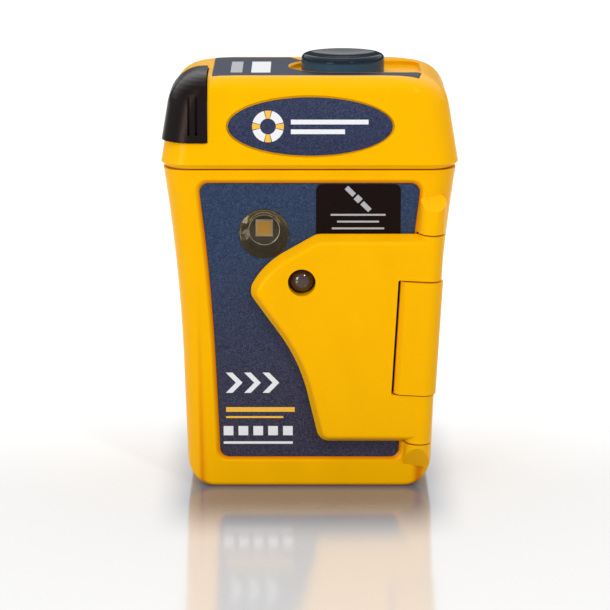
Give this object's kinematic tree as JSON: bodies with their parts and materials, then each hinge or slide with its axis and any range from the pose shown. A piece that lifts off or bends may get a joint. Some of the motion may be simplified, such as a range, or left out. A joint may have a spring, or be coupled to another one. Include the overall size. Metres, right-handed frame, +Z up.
{
  "type": "emergency position beacon",
  "caption": "Pocket emergency beacon: flared case, round-shouldered head with winding knob and pull-out antenna, strobe window and a hinged flap over the buttons.",
  "frame": {"origin": "middle of the base, on the surface the beacon stands on", "axes": "+Z up, -Y the front with the flap, +X to the right seen from the front"},
  "size_m": [0.051, 0.0324, 0.075],
  "materials": {
    "case_yellow": "satin moulded polycarbonate",
    "label_navy": "printed polyester film",
    "panel_black": "printed polyester film",
    "tab_black": "satin moulded nylon",
    "knob_blue": "gloss moulded plastic",
    "clear_lens": "clear polycarbonate",
    "smoked_lens": "smoked polycarbonate",
    "mirror": "metallised plastic",
    "led": "light chip on a white base",
    "seal": "silicone",
    "rubber_grey": "silicone",
    "button_red": "satin moulded plastic",
    "button_black": "satin moulded plastic",
    "board_green": "solder mask",
    "tin": "tinned plate",
    "stainless": "stainless steel",
    "ceramic": "fired ceramic",
    "cell_sleeve": "shrink sleeve",
    "cradle_black": "moulded plastic",
    "foam": "closed-cell foam",
    "reel_white": "moulded acetal",
    "label_silver": "printed polyester film"
  },
  "bodies": {
    "reel": {"winder_knob": "knob_blue", "reel_drum": "reel_white", "tape_coil": "stainless"},
    "antenna": {"antenna_tab": "tab_black", "antenna_tape": "stainless"},
    "flap": {"flap": "case_yellow"},
    "on_button": {"on_button": "button_red"},
    "test_button": {"test_button": "button_black"},
    "housing": {"case_tub": "case_yellow", "head_cover": "case_yellow", "head_seal": "seal", "front_label": "label_navy", "sky_window": "panel_black", "head_badge": "label_navy", "top_label": "label_navy", "rear_label": "label_silver", "strobe_lens": "clear_lens", "strobe_reflector": "mirror", "strobe_led": "led", "status_lens": "smoked_lens", "status_led": "led", "main_board": "board_green", "keypad": "rubber_grey", "dome_switches": "stainless", "satellite_antenna": "ceramic", "shield_cans": "tin", "cell_left": "cell_sleeve", "cell_right": "cell_sleeve", "cell_tabs": "tin", "cell_cradle": "cradle_black", "foam_pad": "foam", "case_screws": "stainless", "lanyard_pin": "stainless", "hinge_pin": "stainless", "hinge_block": "case_yellow", "hinge_spring": "stainless", "reel_base": "cradle_black", "shaft_seal": "rubber_grey", "contact_spring": "stainless", "tape_guide": "rubber_grey"}
  },
  "joints": [
    {"name": "reel_spin", "type": "hinge", "parent": "housing", "child": "reel", "pos_m": [0.0058, 0.0008, 0.07], "axis": [0, 0, -1], "range_deg": [0, 980]},
    {"name": "antenna_pull", "type": "slide", "parent": "housing", "child": "antenna", "axis": [-1, 0, 0], "range_m": [0, 0.18], "deforming": ["antenna_tape"]},
    {"name": "flap_hinge", "type": "hinge", "parent": "housing", "child": "flap", "pos_m": [0.0189, -0.01185, 0.00852], "axis": [0.0535, -0.0523, 0.9972], "range_deg": [0, 110], "stiffness_Nm_per_rad": 0.002, "springref_deg": -34.38},
    {"name": "on_press", "type": "slide", "parent": "housing", "child": "on_button", "axis": [0, 0.9986, 0.0523], "range_m": [0, 0.0007], "stiffness_N_per_m": 300, "springref_m": -0.0002},
    {"name": "test_press", "type": "slide", "parent": "housing", "child": "test_button", "axis": [0, 0.9986, 0.0523], "range_m": [0, 0.0007], "stiffness_N_per_m": 300, "springref_m": -0.0002}
  ],
  "couplings": [
    {"joint": "antenna_pull", "follows": "reel_spin", "m_per_rad": 0.0105}
  ]
}
